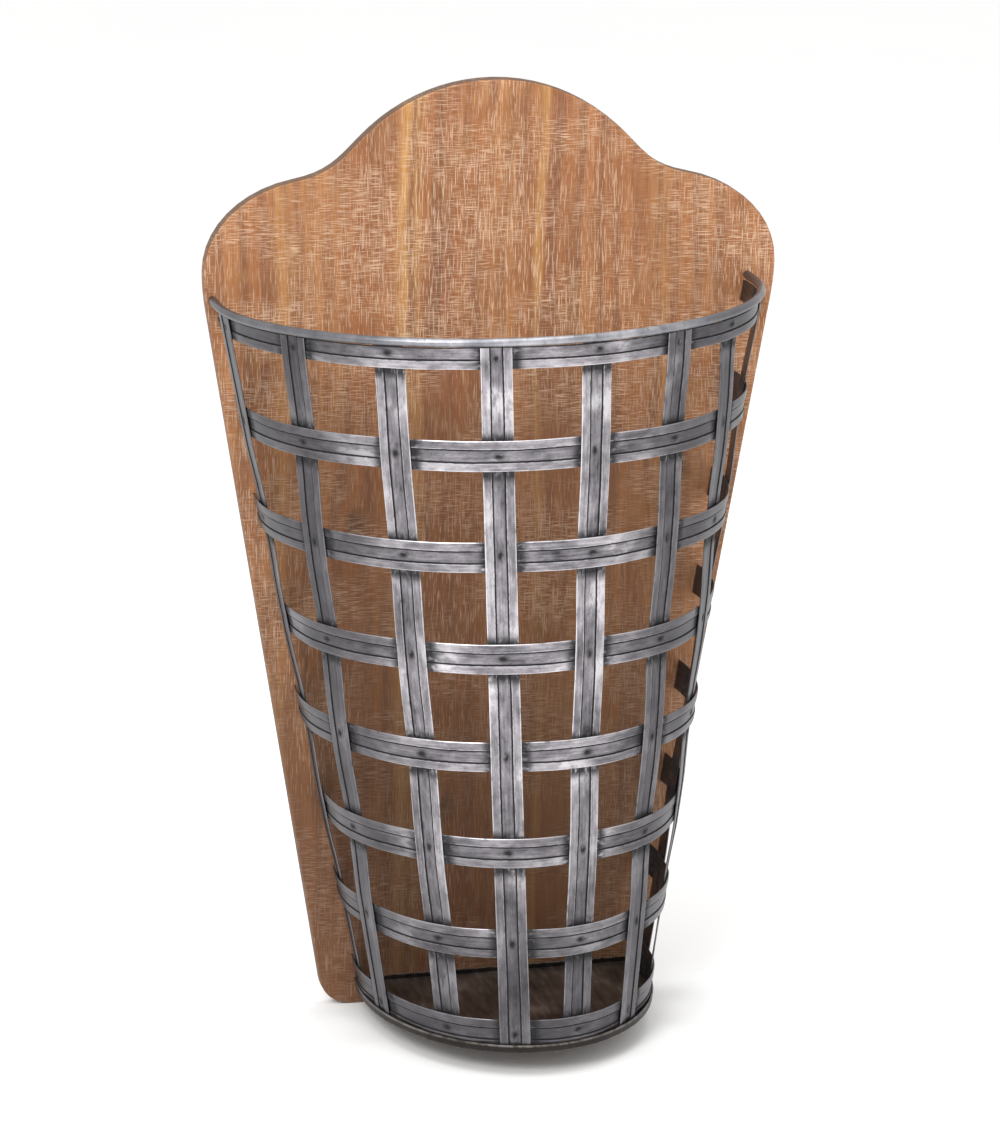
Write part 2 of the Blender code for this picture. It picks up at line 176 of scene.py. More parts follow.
def zinc_layers(bm):
    """What the zinc material reads at a vertex: place on the strip, dirt and painted shade, and turn away
    from the light for more painted shade.
    """
    layers = bm.verts.layers
    return layers.float_vector.new("strip"), layers.float.new("grime_and_shade"), layers.float.new("turned")


def bridge(bm, rings):
    """Joins each ring of vertices to the next one with faces."""
    for ring, after in zip(rings, rings[1:]):
        for i in range(len(ring)):
            j = (i + 1) % len(ring)
            bm.faces.new((ring[i], ring[j], after[j], after[i]))


def close_tube(bm, rings):
    """Joins the rings of a strip or a wire, and caps its two ends."""
    bridge(bm, rings)
    bm.faces.new(rings[0][::-1])
    bm.faces.new(rings[-1])
    bmesh.ops.recalc_face_normals(bm, faces=bm.faces)


def smoothstep(share):
    share = min(1.0, max(0.0, share))
    return share * share * (3 - 2 * share)


def bell(distance, width):
    """1 at distance 0, falling smoothly to 0 at the width."""
    return smoothstep(1 - abs(distance) / width)


def wobble(place, seed):
    """Smooth unevenness between about -1 and 1, the same every run."""
    return noise.noise(Vector((place, seed * SEED_STEPS[0], seed * SEED_STEPS[1])))


# Basket surface -------------------------------------------------------------------------------------------


def share_up(z):
    """0 at the base and 1 at the rim."""
    return (z - BASE_Z) / (RIM_Z - BASE_Z)


def section_at(z):
    """Half width, depth, centre, angle at which the section meets the board, and sideways shift."""
    half_width, depth, centre, shift = (
        low + share_up(z) * (high - low) for low, high in zip(BASE_SECTION, RIM_SECTION)
    )
    return half_width, depth, centre, acos((centre + GAP) / depth), shift


def on_basket(z, angle, out=0.0):
    half_width, depth, centre, _, shift = section_at(z)
    normal = Vector((depth * sin(angle), -half_width * cos(angle), 0)).normalized()
    return Vector((shift + half_width * sin(angle), FRONT + centre - depth * cos(angle), z)) + normal * out


def angle_for(length, z, angle):
    """The angle that a length along the section takes up there."""
    half_width, depth, *_ = section_at(z)
    return length / hypot(half_width * cos(angle), depth * sin(angle))


def strap_angle(number, z):
    at_rim, at_base = STRAP_ANGLES[number - 1]
    return radians(at_base + share_up(z) * (at_rim - at_base))


def strap_is_outside(strap, band):
    """The weave alternates, but the last two bands pass alike and the first strap starts outside twice."""
    row = min(band, BANDS - 1)
    return (strap + row) % 2 == 1 or (strap == 1 and band == 1)


def weave_side(strap, band):
    return WEAVE_OFFSET if strap_is_outside(strap, band) else -WEAVE_OFFSET


def band_edges(number):
    middle = BOARD_LOW.z + BAND_HEIGHTS[number - 1]
    return middle - HALF_STRIP, min(middle + HALF_STRIP, RIM_Z - RIM_RADIUS - GAP)


# Folded strip ---------------------------------------------------------------------------------------------

# The strip's middle, between the folds, as (across, out, front) points: front is 1, and 0 on a strip's back
CHANNEL_STEP = 0.0007
CHANNEL_RISE = 0.00003
CHANNEL = [(step * CHANNEL_STEP, CHANNEL_RISE, 1) for step in range(-3, 4)]


def hem_profile():
    """Half a strip's front from the middle of the channel out to its edge, as (across, out) points."""
    edge, top = HALF_STRIP, STRIP_HALF_THICKNESS
    lip = FOLD_EDGE
    groove = lip - GROOVE_WIDTH
    return [
        (groove - 0.0006, 0.02 * top),
        (groove, -0.05 * top),
        (groove + 0.25 * GROOVE_WIDTH, -0.55 * top),
        (lip - 0.15 * GROOVE_WIDTH, -0.60 * top),
        (lip, -0.10 * top),
        (lip, 0.65 * top),
        (lip + 0.00018, 0.92 * top),
        (lip + 0.0006, 1.00 * top),
        (lip + 0.0030, 1.00 * top),
        (edge - 0.0008, 0.97 * top),
        (edge - 0.0003, 0.80 * top),
        (edge, 0.35 * top),
    ]


def corner_profile():
    """The strip's back corner: it joins the front's edge to the flat back."""
    edge, top = HALF_STRIP, STRIP_HALF_THICKNESS
    return [
        (edge, -0.40 * top),
        (edge - 0.0003, -0.85 * top),
        (edge - 0.0008, -1.0 * top),
        (FOLD_EDGE, -1.0 * top),
    ]


def strip_profile(upper_hem, cut_at):
    """The whole section as (across, out, front) points. Without an upper hem, the channel runs to cut_at."""
    half = [(a, n, 1) for a, n in hem_profile()] + [(a, n, 0) for a, n in corner_profile()]
    lower = [(-a, n, f) for a, n, f in reversed(half)]
    if upper_hem:
        return lower + CHANNEL + half
    cut_edge = [(cut_at - 0.001, 0.0, 1), (cut_at, 0.0, 1), (cut_at, -STRIP_HALF_THICKNESS, 0)]
    return lower + CHANNEL + cut_edge


def woven(laps, first, last, lap_steps, turn_steps):
    """Sampled (position, offset, lap index or None, place in the lap from -1 to 1) along a strip."""
    stations = []
    for number, (start, end, offset) in enumerate(laps):
        if number == 0 and abs(start - first) > SAME_PLACE:
            for i in range(turn_steps):
                stations.append((first + (start - first) * i / turn_steps, offset, None, 0))
        for i in range(lap_steps):
            share = i / (lap_steps - 1)
            stations.append((start + (end - start) * share, offset, number, 2 * share - 1))
        if number + 1 < len(laps):
            following, _, next_offset = laps[number + 1]
            for i in range(1, turn_steps):
                share = i / turn_steps
                eased = offset + (next_offset - offset) * smoothstep(share)
                stations.append((end + (following - end) * share, eased, None, 0))
        elif abs(last - end) > SAME_PLACE:
            for i in range(1, turn_steps + 1):
                stations.append((end + (last - end) * i / turn_steps, offset, None, 0))
    return stations


def weld_offsets(count, seed):
    """How far each weld sits from the middle of its lap, across and along the strip."""
    offsets = []
    for i in range(count):
        across = WELD_OFF_ACROSS * wobble(i * WELD_RATE_ACROSS, seed)
        along = WELD_OFF_ALONG * wobble(i * WELD_RATE_ALONG, seed + WELD_SEED_ALONG)
        offsets.append((across, along))
    return offsets


def weld_mark(across, along, offset):
    """How deep the weld's pit is at a place on the lap, and how dark the smudge round it."""
    distance = hypot((along - offset[1]) / WELD_LENGTH, (across - offset[0]) / WELD_WIDTH)
    pit = 0.0
    if abs(across) < WELD_LIMIT:
        pit = WELD_DEPTH * (bell(distance, PIT_REACH) - RING_SHARE * bell(distance - RING_AT, RING_REACH))
    return pit, SMUDGE * bell(distance, SMUDGE_REACH)


def spread_grime_and_shade(rings, stations, outside, grime_and_shade_layer, centres):
    """Dirt and painted shade on a strip just beside each strip that passes over it."""
    edges = []
    for index in range(1, len(stations)):
        before, here = stations[index - 1][2], stations[index][2]
        lap = here if here is not None else before
        if before != here and lap is not None and not outside[lap]:
            edges.append(centres[index])
    for ring, centre in zip(rings, centres):
        near = min(((centre - edge).length for edge in edges), default=1.0)
        for vert in ring:
            vert[grime_and_shade_layer] = max(vert[grime_and_shade_layer], BESIDE_DIRT_AND_SHADE * bell(near, BESIDE_REACH))


def build_strip(name, pairs, stations, outside, angles, seed, profile):
    """Sweeps the folded section through pairs of edge points, with its dirt, painted shade and weld pits."""
    bm = bmesh.new()
    strip_layer, grime_and_shade_layer, turned_layer = zinc_layers(bm)
    welds = weld_offsets(len(outside), seed)
    centres = [(a + b) / 2 for a, b in pairs]
    rings, along = [], 0.0
    for index, (a, b) in enumerate(pairs):
        if index:
            along += (centres[index] - centres[index - 1]).length
        ahead = centres[min(index + 1, len(pairs) - 1)] - centres[max(index - 1, 0)]
        across = (b - a).normalized()
        normal = across.cross(ahead).normalized()
        outward = Vector((centres[index].x, centres[index].y - FRONT - LINE_BEHIND_FRONT, 0))
        if normal.dot(outward) < 0:
            normal = -normal
        _, _, lap, place = stations[index]
        ring = []
        for u, n, front in profile:
            side = 1 if u > 0 else -1
            share = 1.0 if front and WAVERS_FROM < abs(u) < WAVERS_TO else FIRM_SHARE
            shift = WAVER * wobble(along * WAVER_RATE, seed + side) * share
            bulge = 0.0
            if front and n > 0:
                bulge = BULGE * wobble(along * BULGE_RATE + u * BULGE_RATE_ACROSS, seed + BULGE_SEED)
            pit, dirt_and_shade = 0.0, 0.0
            if lap is not None and not outside[lap]:
                dirt_and_shade = COVERED_DIRT_AND_SHADE * smoothstep(abs(place) / COVERED_FULL_AT)
            elif lap is not None and front:
                pit, dirt_and_shade = weld_mark(u, place * (HALF_STRIP + LAP_MARGIN), welds[lap])
            vert = bm.verts.new(centres[index] + across * (u + shift) + normal * (n + bulge - pit))
            vert[strip_layer] = Vector((along + seed * SEED_SPACING, u, front))
            vert[grime_and_shade_layer] = dirt_and_shade
            # How far the strip turns from the light, which the zinc paints as shade
            vert[turned_layer] = abs(angles[index] - BRIGHTEST_ANGLE) / (pi / 2)
            ring.append(vert)
        rings.append(ring)
    spread_grime_and_shade(rings, stations, outside, grime_and_shade_layer, centres)
    close_tube(bm, rings)
    finish_piece(bm, f"{name}_folded", ZINC, [name])


def make_strap(number):
    top = RIM_Z - RIM_RADIUS - GAP
    bottom = BASE_Z + PLATE_THICKNESS / 2 + GAP
    laps, outside = [], []
    for band in range(1, BANDS + 1):
        lower, upper = band_edges(band)
        start, end = min(top, upper + LAP_MARGIN), max(bottom, lower - LAP_MARGIN)
        laps.append((start, end, weave_side(number, band)))
        outside.append(strap_is_outside(number, band))
    turn_steps = round((laps[0][1] - laps[1][0]) / STEP_BETWEEN)
    stations = woven(laps, top, bottom, round(LAP_LENGTH / STEP_ON_LAP), turn_steps)
    pairs, angles = [], []
    for z, offset, _, _ in stations:
        angle = strap_angle(number, z)
        half = angle_for(HALF_STRIP, z, angle)
        pairs.append([on_basket(z, angle + side * half, offset) for side in (-1, 1)])
        angles.append(angle)
    build_strip(f"strap_{number}", pairs, stations, outside, angles, number, strip_profile(True, 0))


def make_band(number):
    lower, upper = band_edges(number)
    half_width, _, _, end, _ = section_at((lower + upper) / 2)
    between = (2 * end * half_width - STRAPS * LAP_LENGTH) / STRAPS
    turn_steps = max(FEWEST_TURN_STEPS, round(between / STEP_BETWEEN))
    tracks = []
    for z in (lower, upper):
        laps = []
        for strap in range(1, STRAPS + 1):
            angle = strap_angle(strap, z)
            half = angle_for(HALF_STRIP + LAP_MARGIN, z, angle)
            laps.append((angle - half, angle + half, -weave_side(strap, number)))
        end = section_at(z)[3]
        tracks.append(woven(laps, -end, end, round(LAP_LENGTH / STEP_ON_LAP), turn_steps))
    pairs = []
    for (low_angle, offset, _, _), (high_angle, _, _, _) in zip(*tracks):
        pairs.append([on_basket(lower, low_angle, offset), on_basket(upper, high_angle, offset)])
    # The last band stands in the tray, so its ends stop in front of the tray's back lip
    stand_off = 2 * GAP + PLATE_THICKNESS if number == BANDS else GAP
    for pair in (pairs[0], pairs[-1]):
        for point in pair:
            point.y = FRONT - stand_off
    if number == 1:
        # The section is centred on a full-width strip, so the lower edge keeps its place
        for pair in pairs:
            pair[1] = pair[0] + (pair[1] - pair[0]).normalized() * STRIP_WIDTH
    profile = strip_profile(number > 1, upper - lower - HALF_STRIP)
    outside = [not strap_is_outside(strap, number) for strap in range(1, STRAPS + 1)]
    angles = [station[0] for station in tracks[0]]
    build_strip(f"band_{number}", pairs, tracks[0], outside, angles, number + BAND_SEEDS, profile)


# Rim ------------------------------------------------------------------------------------------------------

RIM_SIDES = 28
RIM_STEPS = 240
# The rolled edge is drawn in a little, so that its dents stay inside the CAD model's rim
RIM_DRAWN_IN = 0.00008
RIM_DENT = 0.00007
RIM_DENT_RATE = 60
RIM_SEED = 31
SEAM_DEPTH = 0.00045
SEAM_TURN = radians(248)
SEAM_WIDTH = radians(14)
# Dirt in the seam and painted shade under the rim: how dark, round which turn and how wide
SEAM_DIRT_AND_SHADE = 0.9
SEAM_DIRT_AND_SHADE_TURN = radians(252)
SEAM_DIRT_AND_SHADE_WIDTH = radians(40)
# Where on a strip's width the rim reads the zinc's pattern: on a fold
RIM_ACROSS = 0.0075
RIM_ACROSS_RANGE = 0.001


def make_rim():
    """A rolled edge: a round bead whose seam turns in under it, with slight dents where it was hammered."""
    _, depth, centre, *_ = section_at(RIM_Z)
    last = acos((centre + RIM_STRAIGHT_END) / depth)
    points = [on_basket(RIM_Z, last * (2 * i / RIM_STEPS - 1)) for i in range(RIM_STEPS + 1)]
    ends = [Vector((point.x, FRONT - GAP, point.z)) for point in (points[0], points[-1])]
    points = [ends[0], *points, ends[1]]
    bm = bmesh.new()
    strip_layer, grime_and_shade_layer, turned_layer = zinc_layers(bm)
    up = Vector((0, 0, 1))
    rings, along = [], 0.0
    for index, point in enumerate(points):
        if index:
            along += (point - points[index - 1]).length
        ahead = (points[min(index + 1, len(points) - 1)] - points[max(index - 1, 0)]).normalized()
        out = ahead.cross(up).normalized()
        if out.dot(Vector((point.x, point.y - FRONT, 0))) < 0:
            out = -out
        ring = []
        for side in range(RIM_SIDES):
            turn = 2 * pi * side / RIM_SIDES
            dent = RIM_DENT * wobble(along * RIM_DENT_RATE + 2 * cos(turn), RIM_SEED + sin(turn))
            reach = RIM_RADIUS - RIM_DRAWN_IN + dent - SEAM_DEPTH * bell(turn - SEAM_TURN, SEAM_WIDTH)
            vert = bm.verts.new(point + out * (reach * cos(turn)) + up * (reach * sin(turn)))
            vert[strip_layer] = Vector((along, RIM_ACROSS + RIM_ACROSS_RANGE * sin(turn), 1))
            # Dirt along the seam and painted shade under the rim
            vert[grime_and_shade_layer] = SEAM_DIRT_AND_SHADE * bell(turn - SEAM_DIRT_AND_SHADE_TURN, SEAM_DIRT_AND_SHADE_WIDTH)
            # Painted shade grows towards the rim's ends, as they turn from the light
            vert[turned_layer] = abs(2 * index / len(points) - 1)
            ring.append(vert)
        rings.append(ring)
    close_tube(bm, rings)
    finish_piece(bm, "rim_rolled", RIM_METAL, ["rim"])


# Base tray ------------------------------------------------------------------------------------------------

TRAY_STEPS = 120
TRAY_BACK_STEPS = 30
TRAY_RINGS = 10
# The rings of the floor spread from a point this far in front of the board
TRAY_MIDDLE_REACH = 0.05654
TRAY_UNEVENNESS = 0.0005
TRAY_RATE = 22
# The floor darkens over its outer part, towards the lip
FLOOR_EDGE_DARKENING = 0.5
FLOOR_EVEN_SHARE = 0.7
SHEET_THICKNESS = 0.0005

# Heights in the lip, as shares of its height. Its bead is a little flattened.
LIP_RISES = (0.10, 0.45, 0.70)
BEAD_RISE = 0.86
BEAD_RADIUS = 0.0009
BEAD_STEPS = 7
BEAD_START = -60
BEAD_TURN = 45
BEAD_DEEPNESS = 0.6
BEAD_TALLNESS = 0.75
LIP_UNEVENNESS = 0.00015
LIP_RATE = 60
LIP_DIRT = 1.2
BEAD_DIRT = 0.5
BEAD_FROM = 0.8

TAB_X = 0.055
TAB_SIZE = (0.018, 0.014)
TAB_THICKNESS = 0.0012
TAB_ROUNDING = 0.00035
TAB_DIRT = 0.2


def tray_outline():
    end = section_at(BASE_Z)[3]
    arc = [on_basket(BASE_Z, end * (2 * i / TRAY_STEPS - 1), LIP_REACH) for i in range(TRAY_STEPS + 1)]
    arc[0].y = arc[-1].y = FRONT - GAP - PLATE_THICKNESS / 2
    return arc + [arc[-1].lerp(arc[0], i / TRAY_BACK_STEPS) for i in range(1, TRAY_BACK_STEPS)]


def lip_ring(bm, outline, rise, reach, grime_and_shade_layer):
    """One ring of the lip. Along the back the lip is lower, and it never leans into the board."""
    ring = []
    for index, point in enumerate(outline):
        at_back = index == 0 or index >= TRAY_STEPS
        height = BACK_LIP_HEIGHT if at_back else LIP_HEIGHT
        outward = Vector((0, 0, 0)) if at_back else Vector((point.x, point.y - FRONT, 0)).normalized()
        uneven = LIP_UNEVENNESS * noise.noise(point * LIP_RATE)
        ring.append(bm.verts.new(point + outward * (reach + uneven) + Vector((0, 0, height * rise))))
        ring[-1][grime_and_shade_layer] = LIP_DIRT if rise < BEAD_FROM else BEAD_DIRT
    return ring


def make_tray():
    """The floor sheet, slightly uneven, with its edge turned up into a lip that ends in a small bead."""
    outline = tray_outline()
    middle = Vector((0, FRONT - TRAY_MIDDLE_REACH, BASE_Z))
    bm = bmesh.new()
    grime_and_shade_layer = bm.verts.layers.float.new("grime_and_shade")
    bead_layer = bm.verts.layers.float.new("bead")
    rings = []
    for step in range(1, TRAY_RINGS + 1):
        share = step / TRAY_RINGS
        ring = []
        for point in outline:
            place = middle.lerp(point, share)
            place.z += TRAY_UNEVENNESS * noise.noise(place * TRAY_RATE) * (1 - share)
            ring.append(bm.verts.new(place))
            # Darker towards the lip
            toward_edge = smoothstep((share - FLOOR_EVEN_SHARE) / (1 - FLOOR_EVEN_SHARE))
            ring[-1][grime_and_shade_layer] = FLOOR_EDGE_DARKENING * toward_edge
        rings.append(ring)
    centre = bm.verts.new(middle)
    first = rings[0]
    for i, vert in enumerate(first):
        bm.faces.new((centre, vert, first[(i + 1) % len(first)]))
    # Up the lip, then round the bead
    for rise in LIP_RISES:
        rings.append(lip_ring(bm, outline, rise, 0.0, grime_and_shade_layer))
    for step in range(BEAD_STEPS):
        turn = radians(BEAD_START + BEAD_TURN * step)
        reach = BEAD_RADIUS * cos(turn) * BEAD_DEEPNESS
        rise = BEAD_RISE + BEAD_RADIUS / LIP_HEIGHT * sin(turn) * BEAD_TALLNESS
        rings.append(lip_ring(bm, outline, rise, reach, grime_and_shade_layer))
        for vert in rings[-1]:
            vert[bead_layer] = 1.0
    bridge(bm, rings)
    bmesh.ops.recalc_face_normals(bm, faces=bm.faces)
    tray = finish_piece(bm, "base_tray", BASE_METAL, ["base_plate"], 50)
    sheet = tray.modifiers.new("sheet", "SOLIDIFY")
    sheet.thickness = SHEET_THICKNESS
    sheet.offset = 0


def make_tab(side, x):
    """A tab turned down behind the tray, with rounded corners."""
    bm = bmesh.new()
    bmesh.ops.create_cube(bm, size=1)
    size = (TAB_SIZE[0], TAB_THICKNESS, TAB_SIZE[1])
    place = Vector((x, FRONT - GAP - TAB_THICKNESS / 2, BASE_Z - TAB_SIZE[1] / 2 - PLATE_THICKNESS / 2))
    grime_and_shade_layer = bm.verts.layers.float.new("grime_and_shade")
    for vert in bm.verts:
        vert.co = place + Vector([vert.co[i] * size[i] for i in range(3)])
        vert[grime_and_shade_layer] = TAB_DIRT
    tab = finish_piece(bm, f"base_tab_{side}", BASE_METAL)
    rounding = tab.modifiers.new("rounding", "BEVEL")
    rounding.width = TAB_ROUNDING
    rounding.segments = 2


# Materials ------------------------------------------------------------------------------------------------


class Shader:
    """A material's node tree, with short methods for the nodes that the materials share."""

    def __init__(self, name):
        self.material = bpy.data.materials.new(name)
        self.material.use_nodes = True
        self.tree = self.material.node_tree
        self.bsdf = self.tree.nodes["Principled BSDF"]

    def add(self, kind, inputs, output=0, **settings):
        node = self.tree.nodes.new(kind)
        for key, value in settings.items():
            setattr(node, key, value)
        for key, value in inputs.items():
            self.feed(node.inputs[key], value)
        return node.outputs[output]

    def feed(self, socket, value):
        if isinstance(value, bpy.types.NodeSocket):
            self.tree.links.new(value, socket)
        elif isinstance(value, tuple) and socket.type == "RGBA":
            socket.default_value = (*value, 1.0)
        else:
            socket.default_value = value

    def math(self, operation, *values):
        return self.add("ShaderNodeMath", dict(enumerate(values)), operation=operation)

    def times(self, *values):
        result = values[0]
        for value in values[1:]:
            result = self.math("MULTIPLY", result, value)
        return result

    def plus(self, *values):
        result = values[0]
        for value in values[1:]:
            result = self.math("ADD", result, value)
        return result

    def wander(self, value, amount):
        """Takes a noise round its middle, 0.5, to a distance either way."""
        return self.times(self.math("SUBTRACT", value, 0.5), amount)

    def rise(self, value, low, high):
        """0 below low, 1 above high (or the reverse, if low is the larger), smooth between."""
        if low > high:
            return self.math("SUBTRACT", 1.0, self.rise(value, high, low))
        inputs = {"Value": value, "From Min": low, "From Max": high}
        return self.add("ShaderNodeMapRange", inputs, interpolation_type="SMOOTHSTEP")

    def near(self, value, centre, inner, outer):
        """1 within inner of the centre, and 0 beyond outer."""
        distance = self.math("ABSOLUTE", self.math("SUBTRACT", value, centre))
        return self.rise(distance, outer, inner)

    def parts(self, vector):
        """The vector's x, y and z."""
        return tuple(self.add("ShaderNodeSeparateXYZ", {0: vector}).node.outputs)

    def object_place(self):
        return self.add("ShaderNodeTexCoord", {}, output="Object")

    def noise(self, vector, scale, shift=(0.0, 0.0, 0.0), detail=2.0, roughness=0.5):
        """Noise at the vector times scale plus shift, so that a direction can be drawn out or skipped."""
        stretched = {0: vector, 1: scale, 2: shift}
        place = self.add("ShaderNodeVectorMath", stretched, operation="MULTIPLY_ADD")
        inputs = {"Vector": place, "Scale": 1.0, "Detail": detail, "Roughness": roughness}
        return self.add("ShaderNodeTexNoise", inputs)

    def mix(self, factor, first, second):
        return self.add("ShaderNodeMix", {0: factor, 6: first, 7: second}, output=2, data_type="RGBA")

    def ramp(self, value, stops):
        node = self.tree.nodes.new("ShaderNodeValToRGB")
        self.tree.links.new(value, node.inputs["Fac"])
        elements = node.color_ramp.elements
        while len(elements) < len(stops):
            elements.new(0.5)
        for element, (place, color) in zip(elements, stops):
            element.position = place
            element.color = (*color, 1.0)
        return node.outputs["Color"]

    def attribute(self, name, output="Fac"):
        return self.add("ShaderNodeAttribute", {}, output=output, attribute_name=name)

    def bump(self, height, strength, distance):
        inputs = {"Height": height, "Strength": strength, "Distance": distance}
        return self.add("ShaderNodeBump", inputs)

    def surface(self, **inputs):
        for key, value in inputs.items():
            self.feed(self.bsdf.inputs[key.replace("_", " ")], value)
        return self.material


# Heights between which painted shade darkens the zinc, from higher to lower
ZINC_PAINTED_SHADE_HEIGHTS = (-0.06, -0.32)
ZINC_DIRT_AND_SHADE = (0.018, 0.017, 0.018)


def zinc_material(name, dark, middle, light, worn_and_highlight):
    """Aged zinc: streaks along the strip, blotches, dark grooves and joints, and bright rubbed edges.

    The grooves and joints are dirt with painted shade, the rubbed edges are partly painted highlight,
    bright patches are painted highlight, and sides turned from the light and low parts get painted shade.
    """
    s = Shader(name)
    strip = s.attribute("strip", "Vector")
    _, signed_across, front = s.parts(strip)
    across = s.math("ABSOLUTE", signed_across)
    grime_and_shade = s.attribute("grime_and_shade")
    turned = s.attribute("turned")
    height_up = s.parts(s.object_place())[2]

    streak = s.noise(strip, (26.0, 620.0, 0.0), detail=3.0, roughness=0.6)
    blotch = s.noise(strip, (95.0, 210.0, 0.0), (3.0, 7.0, 1.0), detail=6.0, roughness=0.62)
    cloud = s.noise(strip, (22.0, 30.0, 0.0), (9.0, 2.0, 5.0), detail=2.0)
    hem = s.times(s.rise(across, FOLD_EDGE - 0.0005, FOLD_EDGE + 0.0005), front)
    hem_tone = s.times(s.math("SUBTRACT", hem, 0.40), 0.050)
    tone = s.plus(s.times(streak, 0.22), s.times(blotch, 0.33), s.times(cloud, 0.45), hem_tone)
    color = s.ramp(tone, [(0.36, dark), (0.50, middle), (0.64, light)])
    speck = s.rise(s.noise(strip, (420.0, 520.0, 0.0), (1.0, 4.0, 2.0), detail=3.0), 0.60, 0.72)
    color = s.mix(s.times(speck, 0.35), color, dark)

    # Bright on the folds' rims and the outer edges, partly wear and partly painted highlight, and painted
    # highlight in some patches
    lip = s.near(across, FOLD_EDGE + 0.0004, 0.0001, 0.0004)
    edge = s.rise(across, HALF_STRIP - 0.0008, HALF_STRIP - 0.0002)
    rubbed_and_highlight = s.times(s.math("MAXIMUM", s.times(lip, 0.6), edge), s.rise(blotch, 0.30, 0.52), front)
    color = s.mix(s.times(rubbed_and_highlight, 0.85), color, worn_and_highlight)
    painted_highlight = s.times(s.rise(cloud, 0.57, 0.66), s.rise(blotch, 0.40, 0.55), front)
    color = s.mix(s.times(painted_highlight, 0.40), color, worn_and_highlight)

    # Dark in the grooves and at the joints, with dirt and painted shade; painted shade round the sides turned
    # from the light and low down
    ragged = s.noise(strip, (260.0, 260.0, 0.0), (2.0, 8.0, 4.0), detail=4.0)
    groove_at = s.plus(across, s.wander(ragged, 0.0009))
    groove = s.times(s.near(groove_at, FOLD_EDGE - 0.0003, 0.0003, 0.0009), front)
    patchy = s.noise(strip, (160.0, 300.0, 0.0), (5.0, 5.0, 5.0), detail=3.0)
    dirt_and_shade = s.math("MAXIMUM", s.times(groove, 0.95), s.times(grime_and_shade, s.rise(patchy, 0.25, 0.52)))
    painted_shade = s.math("MAXIMUM", s.rise(turned, 0.16, 0.56), s.rise(height_up, *ZINC_PAINTED_SHADE_HEIGHTS))
    color = s.mix(s.times(painted_shade, 0.80), color, dark)
    color = s.mix(dirt_and_shade, color, ZINC_DIRT_AND_SHADE)

    roughness = s.plus(0.24, s.times(blotch, 0.30), s.times(dirt_and_shade, 0.35))
    metallic = s.math("SUBTRACT", 0.92, s.times(dirt_and_shade, 0.45))
    height = s.math("SUBTRACT", s.plus(s.times(streak, 0.5), s.times(blotch, 0.8)), s.times(speck, 0.3))
    normal = s.bump(height, 0.35, 0.0004)
    return s.surface(Base_Color=color, Roughness=roughness, Metallic=metallic, Normal=normal)


SHEET_TONES = [(0.36, (0.05, 0.036, 0.029)), (0.52, (0.13, 0.098, 0.080)), (0.68, (0.26, 0.21, 0.18))]
WORN_BEAD = (0.30, 0.29, 0.29)
SHEET_DARKENING = (0.014, 0.013, 0.013)


def sheet_material():
    """The base tray: tarnished dark sheet, worn bright along its lip."""
    s = Shader("dark_base_sheet")
    place = s.object_place()
    cloud = s.noise(place, (22.0, 22.0, 22.0), detail=5.0, roughness=0.6)
    fine = s.noise(place, (260.0, 40.0, 200.0), (1.0, 2.0, 3.0), detail=3.0)
    tone = s.plus(s.times(cloud, 0.6), s.times(fine, 0.4))
    color = s.ramp(tone, SHEET_TONES)
    color = s.mix(s.times(s.attribute("bead"), 0.48, s.rise(fine, 0.35, 0.6)), color, WORN_BEAD)
    # Darker on the lip, on the tabs and towards the floor's edge
    color = s.mix(s.times(s.attribute("grime_and_shade"), 0.75), color, SHEET_DARKENING)
    roughness = s.plus(0.34, s.times(cloud, 0.3))
    normal = s.bump(tone, 0.4, 0.0006)
    return s.surface(Base_Color=color, Roughness=roughness, Metallic=0.75, Normal=normal)


def steel_material(name, color, roughness):
    """Plated hardware: faint brushing and blotches."""
    s = Shader(name)
    place = s.object_place()
    brushed = s.noise(place, (900.0, 900.0, 60.0), detail=2.0)
    blotch = s.noise(place, (140.0, 140.0, 140.0), (4.0, 1.0, 6.0), detail=4.0)
    darker = tuple(channel * 0.45 for channel in color)
    tone = s.mix(s.rise(blotch, 0.40, 0.66), darker, color)
    rough = s.plus(roughness, s.times(brushed, 0.2))
    return s.surface(Base_Color=tone, Roughness=rough, Metallic=1.0, Normal=s.bump(brushed, 0.2, 0.0002))


# Places of what is drawn in the wood. Streaks: x, reach and strength. Knots: x, z and radius.
HONEY_STREAKS = ((-0.057, 0.012, 0.8), (0.036, 0.006, 0.6), (0.120, 0.010, 0.35), (-0.150, 0.008, 0.3))
KNOTS = ((-0.096, 0.020, 0.0050), (0.135, 0.055, 0.0060), (-0.030, -0.190, 0.0045))
SPLIT_X = -0.0375
SPLIT_LOW_Z = 0.13

WOOD_TONES = [(0.30, (0.285, 0.098, 0.032)), (0.48, (0.350, 0.130, 0.040)), (0.66, (0.420, 0.176, 0.055))]
HONEY = (0.56, 0.285, 0.085)
DARK_GRAIN = (0.170, 0.066, 0.028)
PORE = (0.150, 0.065, 0.035)
SPLIT = (0.120, 0.050, 0.024)
KNOT = (0.085, 0.035, 0.018)
PALE_HAZE = (0.48, 0.27, 0.12)
WHITEWASH = (0.77, 0.53, 0.36)
# Painted shade, laid on the board behind the basket and towards its foot
PAINTED_SHADE_BEHIND_BASKET = (0.062, 0.026, 0.011)
DARK_EDGE = (0.060, 0.042, 0.028)


